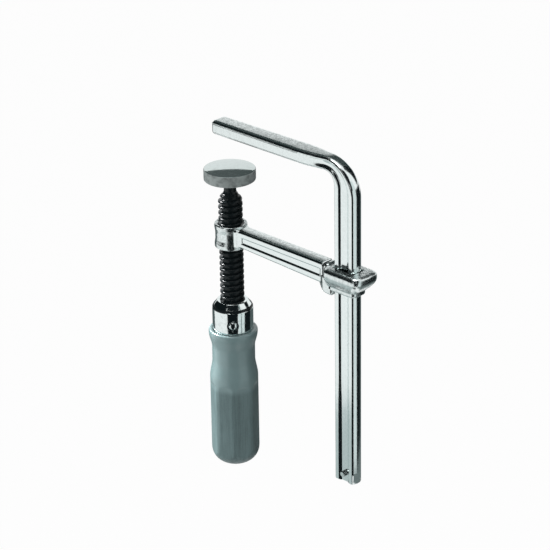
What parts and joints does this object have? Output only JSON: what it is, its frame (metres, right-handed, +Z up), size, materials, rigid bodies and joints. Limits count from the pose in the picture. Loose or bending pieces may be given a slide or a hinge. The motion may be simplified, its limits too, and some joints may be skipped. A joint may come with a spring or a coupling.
{
  "type": "f clamp",
  "caption": "All-steel screw clamp: bent profile rail with fixed jaw, sliding forged arm, trapezoidal screw with swivel pad and wooden handle.",
  "frame": {"origin": "centre of the fixed jaw's clamping face, on the screw's axis", "axes": "+Z up along the rail and the screw, from the pad to the fixed jaw; +X from the screw to the rail; +Y across the jaw"},
  "size_m": [0.1385, 0.034, 0.2452],
  "materials": {
    "plated_steel": "bright plated, rolled and forged",
    "black_steel": "blackened and oiled",
    "pad_steel": "satin",
    "ball_steel": "polished",
    "lacquered_wood": "grey-green stain under clear lacquer"
  },
  "bodies": {
    "frame": {"rail": "plated_steel", "rail_stop_pin": "plated_steel"},
    "arm": {"sliding_arm": "plated_steel"},
    "thrust": {"thrust_ball": "ball_steel"},
    "screw": {"spindle": "black_steel", "ferrule": "plated_steel", "handle_pin": "plated_steel", "wooden_handle": "lacquered_wood"},
    "pad": {"pressure_plate": "pad_steel", "pad_retaining_ring": "black_steel"}
  },
  "joints": [
    {"name": "arm_slide", "type": "slide", "parent": "frame", "child": "arm", "axis": [0, 0, 1], "range_m": [-0.125, 0.005]},
    {"name": "screw_feed", "type": "slide", "parent": "arm", "child": "thrust", "axis": [0, 0, 1], "range_m": [-0.012, 0.014]},
    {"name": "screw_turn", "type": "hinge", "parent": "thrust", "child": "screw", "pos_m": [0, 0, -0.08], "axis": [0, 0, 1], "range_deg": [-1080, 1260]},
    {"name": "pad_tilt", "type": "hinge", "parent": "thrust", "child": "pad", "pos_m": [0, 0, -0.027], "axis": [0, 1, 0], "range_deg": [-8, 8]}
  ],
  "couplings": [
    {"joint": "screw_feed", "follows": "screw_turn", "m_per_rad": 0.00063662}
  ]
}
